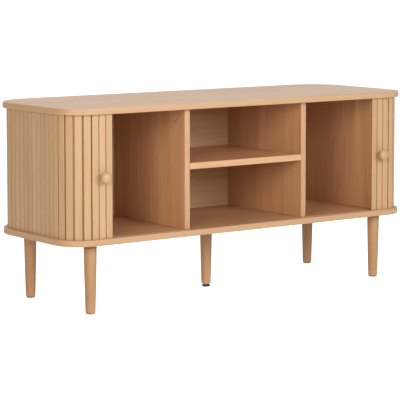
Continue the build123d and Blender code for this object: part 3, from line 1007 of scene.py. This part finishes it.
# a knob's outline as parts of its radius and of how far it stands out: a necked foot, then
# a rounded head that is rubbed where it is widest
KNOB_OUTLINE = ((0, 0), (0.50, 0), (0.49, 0.08), (0.47, 0.18), (0.50, 0.27), (0.62, 0.35),
                (0.84, 0.42), (0.95, 0.48), (1.0, 0.57), (0.99, 0.68), (0.94, 0.79),
                (0.84, 0.88), (0.66, 0.95), (0.42, 0.985), (0.2, 0.997), (0, 1.0))
KNOB_WORN = (8, 9, 10)

for side in ("left", "right"):
    node = side + "_knob"
    low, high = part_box(node)
    radius = (high[0] - low[0]) / 2
    stand = high[1] - low[1]
    profile = [(r * radius, h * stand) for r, h in KNOB_OUTLINE]
    knob = turned(side + "_pull", profile, knob_oak, worn=KNOB_WORN)
    place = Matrix.Translation(((low[0] + high[0]) / 2, high[1], (low[2] + high[2]) / 2))
    knob.data.transform(place @ Matrix.Rotation(math.pi / 2, 4, "X"))
    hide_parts(node)
    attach(knob, side + "_door")
    screw = frame["nodes"][side + "_knob_screw"]
    screw.data.materials.clear()
    screw.data.materials.append(plated_steel)

# ======================================================================================
# Studio
# A plain white paper floor in a pale room. Three soft lights, from the front, the left and
# overhead, and a brighter wall behind the cabinet.
# ======================================================================================

FLOOR_GLOW = 0.9
NEAR_GLOW = 0.22              # share of the floor's glow that falls on the cabinet
BACKDROP = (0.593, 0.805, 0.0)     # where the bright wall stands, as a direction
ROOM_LIGHT = 0.28             # from all round
WALL_LIGHT = 0.75             # on top of that, from the bright wall


def plain_floor():
    """Matt white paper, faintly mottled, that looks overexposed and lights little."""
    paper = Finish("studio_floor", roughness=0.9, specular=0.1)
    place = paper.node("ShaderNodeTexCoord", None, None, "Object")
    mottle = paper.noise(place, 3.0, 3.0, 0.5)
    paper.set("Base Color", paper.mix(mottle, (0.68, 0.68, 0.68, 1.0), (0.64, 0.64, 0.64, 1.0)))
    seen = paper.node("ShaderNodeLightPath", None, None, "Is Camera Ray")
    dim = (NEAR_GLOW, NEAR_GLOW, NEAR_GLOW, 1.0)
    paper.set("Emission Color", paper.mix(seen, dim, (1.0, 1.0, 1.0, 1.0)))
    paper.set("Emission Strength", FLOOR_GLOW)
    return paper.material


sweep = bmesh.new()
bmesh.ops.create_grid(sweep, x_segments=1, y_segments=1, size=30.0)
floor = to_object(sweep, "floor", [plain_floor()])


def studio_world():
    """Soft white light all round, brighter from behind the cabinet."""
    world = bpy.data.worlds.new("studio")
    world.use_nodes = True
    made = Nodes(world.node_tree)
    around = made.node("ShaderNodeTexCoord", None, None, "Generated")
    toward = made.node("ShaderNodeVectorMath", {"operation": "DOT_PRODUCT"},
                       {0: around, 1: BACKDROP}, "Value")
    strength = toward.above(0.2, 0.9) * WALL_LIGHT + ROOM_LIGHT
    background = world.node_tree.nodes["Background"]
    made.give(background.inputs["Strength"], strength)
    background.inputs["Color"].default_value = (1.0, 1.0, 1.0, 1.0)
    return world


bpy.context.scene.world = studio_world()


def soft_light(name, place, aim, size, power, colour=(1.0, 1.0, 1.0)):
    """A rectangular light that faces the point aim."""
    data = bpy.data.lights.new(name, "AREA")
    data.shape = "RECTANGLE"
    data.size, data.size_y = size
    data.energy = power
    data.color = colour
    lamp = bpy.data.objects.new(name, data)
    bpy.context.scene.collection.objects.link(lamp)
    lamp.location = place
    lamp.rotation_mode = "QUATERNION"
    lamp.rotation_quaternion = (Vector(aim) - Vector(place)).to_track_quat("-Z", "Y")


CABINET_MIDDLE = (0.0, 0.0, 0.3)
soft_light("front_softbox", (0.3, -3.4, 1.58), CABINET_MIDDLE, (2.4, 1.4), 97.0,
           (0.965, 1.0, 1.06))
soft_light("left_front_softbox", (-3.1, -2.2, 1.3), CABINET_MIDDLE, (1.4, 1.4), 74.0,
           (1.0, 0.965, 0.86))
soft_light("overhead_softbox", (0.0, 0.2, 3.2), CABINET_MIDDLE, (3.0, 2.4), 34.0)

# ======================================================================================
# Camera
# A long lens to the left of the front and above the cabinet's top, dipped a little. It is
# shifted to set the cabinet's height in the frame.
# ======================================================================================

CAMERA_PLACE = Vector((-2.957, -3.973, 0.874))
CAMERA_YAW = 36.42            # degrees to the right of straight back
CAMERA_DIP = 4.95             # degrees below level
camera = bpy.data.objects.new("camera", bpy.data.cameras.new("camera"))
bpy.context.scene.collection.objects.link(camera)
yaw, dip = math.radians(CAMERA_YAW), math.radians(CAMERA_DIP)
look = Vector((math.sin(yaw) * math.cos(dip), math.cos(yaw) * math.cos(dip), -math.sin(dip)))
camera.location = CAMERA_PLACE
camera.rotation_mode = "QUATERNION"
camera.rotation_quaternion = look.to_track_quat("-Z", "Y")
camera.data.sensor_width = 36.0
camera.data.lens = 169.36
camera.data.shift_y = -0.2
camera.data.clip_end = 100.0
bpy.context.scene.camera = camera
bpy.context.scene.view_settings.view_transform = "Standard"
